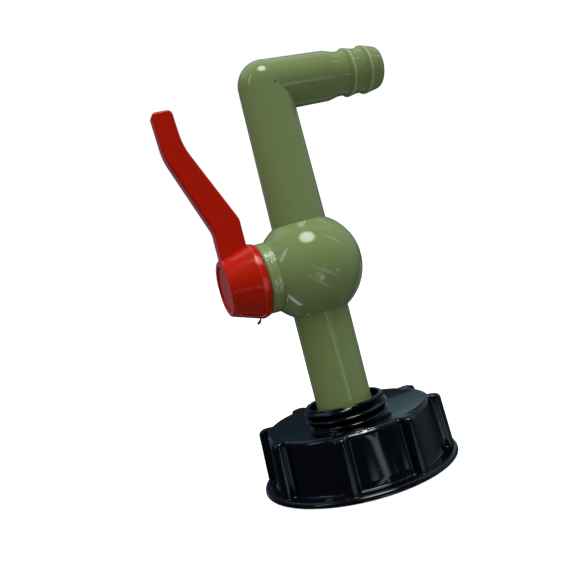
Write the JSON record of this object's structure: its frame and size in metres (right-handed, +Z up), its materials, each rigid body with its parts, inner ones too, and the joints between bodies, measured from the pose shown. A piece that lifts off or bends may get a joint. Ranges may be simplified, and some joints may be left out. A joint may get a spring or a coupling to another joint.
{
  "type": "ibc tap adapter",
  "caption": "Screw cap adapter for a bulk container outlet, with an upright pipe, quarter-turn ball tap with lever, and an elbow spout ending in a hose tail.",
  "frame": {"origin": "centre of the cap's mouth, on the surface that the cap's rim stands on", "axes": "+Z up along the pipe, +X along the spout towards the hose tail, the lever's hub on the -X side"},
  "size_m": [0.099, 0.0804, 0.1704],
  "materials": {
    "cap_plastic": "glossy black",
    "tap_plastic": "glossy olive green",
    "handle_plastic": "satin gloss red",
    "gasket_rubber": "matt black",
    "seal_rubber": "matt black",
    "seat_plastic": "matt white",
    "ball_plastic": "glossy off-white",
    "stem_plastic": "olive green",
    "screw_steel": "plated steel"
  },
  "bodies": {
    "root": {"adapter_cap": "cap_plastic", "tank_gasket": "gasket_rubber", "foot_gasket": "gasket_rubber", "tap_body": "tap_plastic", "bonnet": "tap_plastic", "bonnet_seal": "seal_rubber", "upper_seat": "seat_plastic", "lower_seat": "seat_plastic", "upper_seat_seal": "seal_rubber", "lower_seat_seal": "seal_rubber"},
    "handle_rotor": {"valve_ball": "ball_plastic", "stem": "stem_plastic", "thrust_washer": "seat_plastic", "inner_stem_seal": "seal_rubber", "outer_stem_seal": "seal_rubber", "handle": "handle_plastic", "handle_washer": "screw_steel", "handle_screw": "screw_steel", "handle_cover": "handle_plastic"}
  },
  "joints": [
    {"name": "handle_turn", "type": "hinge", "parent": "root", "child": "handle_rotor", "pos_m": [-0.03, 0, 0.0849], "axis": [1, 0, 0], "range_deg": [0, 90]}
  ]
}
